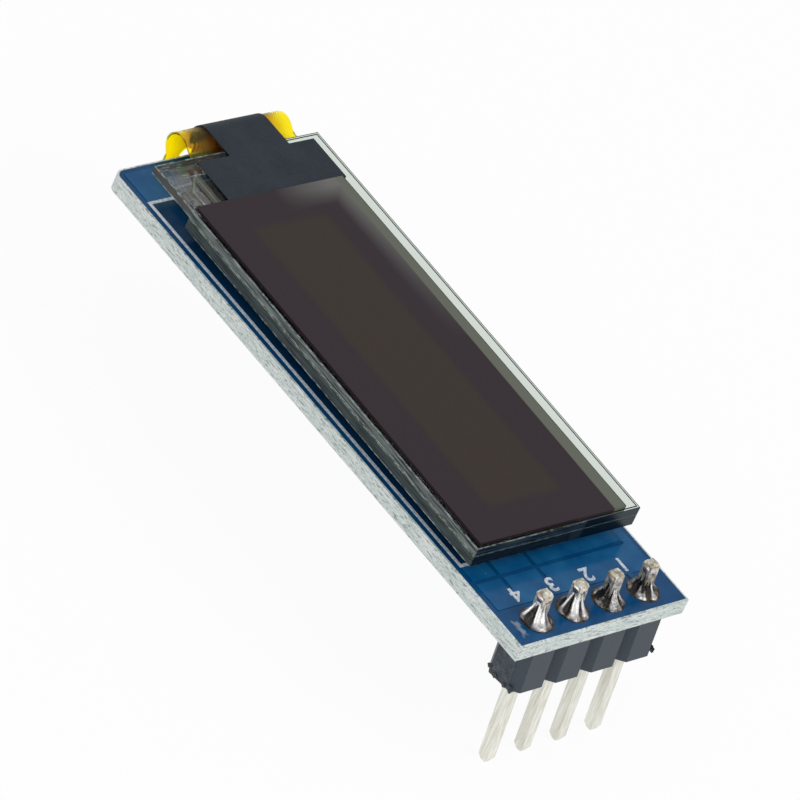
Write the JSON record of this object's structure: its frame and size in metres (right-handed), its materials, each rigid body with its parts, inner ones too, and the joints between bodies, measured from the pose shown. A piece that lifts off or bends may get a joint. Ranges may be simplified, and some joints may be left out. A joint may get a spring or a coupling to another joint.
{
  "type": "small oled display module",
  "caption": "Slim monochrome display glass foam-taped to a narrow blue circuit board, with a folded amber flex and a row of square header pins below.",
  "frame": {"origin": "middle of the pin row, on the underside of the header's plastic", "axes": "+X along the board from the pins towards the flex end, +Y across the board, +Z out of the screen"},
  "size_m": [0.0385, 0.0122, 0.0116],
  "materials": {
    "fibreglass": "pale grey-green woven glass and epoxy, sawn edge",
    "copper_foil": "rolled copper foil under the mask",
    "gold_plating": "thin bright plating",
    "solder_mask": "glossy deep blue lacquer",
    "white_ink": "screen-printed white ink",
    "header_plastic": "moulded slate-black plastic, satin, broken off at both ends",
    "pin_metal": "pale tin plate over brass",
    "solder": "bright solder with drawn-up ridges",
    "foam": "black double-sided foam tape",
    "cap_glass": "polished sheet glass with ground edges",
    "front_glass": "polished sheet glass with ground edges",
    "seal_resin": "cured clear resin bead",
    "desiccant": "thin grey drying sheet",
    "cathode_metal": "evaporated metal film",
    "pixel_film": "dark organic film stack",
    "panel_metal": "thin metal film on glass",
    "polarising_film": "dark neutral film with a smooth satin gloss",
    "silicon": "polished bare die",
    "polyimide": "clear amber film",
    "polyimide_cover": "clear amber film over the conductors",
    "flex_copper": "etched copper under amber film",
    "black_tape": "dark slate film tape, matte",
    "epoxy": "moulded black epoxy",
    "lead_metal": "tinned leads",
    "capacitor_ceramic": "tan ceramic with tinned ends",
    "resistor_ceramic": "black glaze on ceramic with tinned ends"
  },
  "bodies": {
    "root": {"board": "fibreglass", "copper_top": "copper_foil", "copper_bottom": "copper_foil", "hole_plating": "gold_plating", "solder_mask_top": "solder_mask", "solder_mask_bottom": "solder_mask", "legend_frame": "white_ink", "header_insulator": "header_plastic", "pin_1": "pin_metal", "pin_2": "pin_metal", "pin_3": "pin_metal", "pin_4": "pin_metal", "solder_joint_1": "solder", "solder_joint_2": "solder", "solder_joint_3": "solder", "solder_joint_4": "solder", "foam_tape": "foam", "cap_glass": "cap_glass", "desiccant": "desiccant", "seal_ring": "seal_resin", "cathode": "cathode_metal", "pixel_layer": "pixel_film", "panel_wiring": "panel_metal", "front_glass": "front_glass", "polariser": "polarising_film", "driver_chip": "silicon", "flex_film": "polyimide", "flex_tracks": "flex_copper", "flex_cover": "polyimide_cover", "light_tape": "black_tape", "flex_solder": "solder", "regulator_body": "epoxy", "regulator_lead_1": "lead_metal", "regulator_lead_2": "lead_metal", "regulator_lead_3": "lead_metal", "capacitor_1": "capacitor_ceramic", "capacitor_2": "capacitor_ceramic", "capacitor_3": "capacitor_ceramic", "capacitor_4": "capacitor_ceramic", "capacitor_5": "capacitor_ceramic", "capacitor_6": "capacitor_ceramic", "capacitor_7": "capacitor_ceramic", "capacitor_8": "capacitor_ceramic", "resistor_1": "resistor_ceramic", "resistor_2": "resistor_ceramic", "resistor_3": "resistor_ceramic", "resistor_4": "resistor_ceramic", "chip_solder": "solder"}
  },
  "joints": []
}
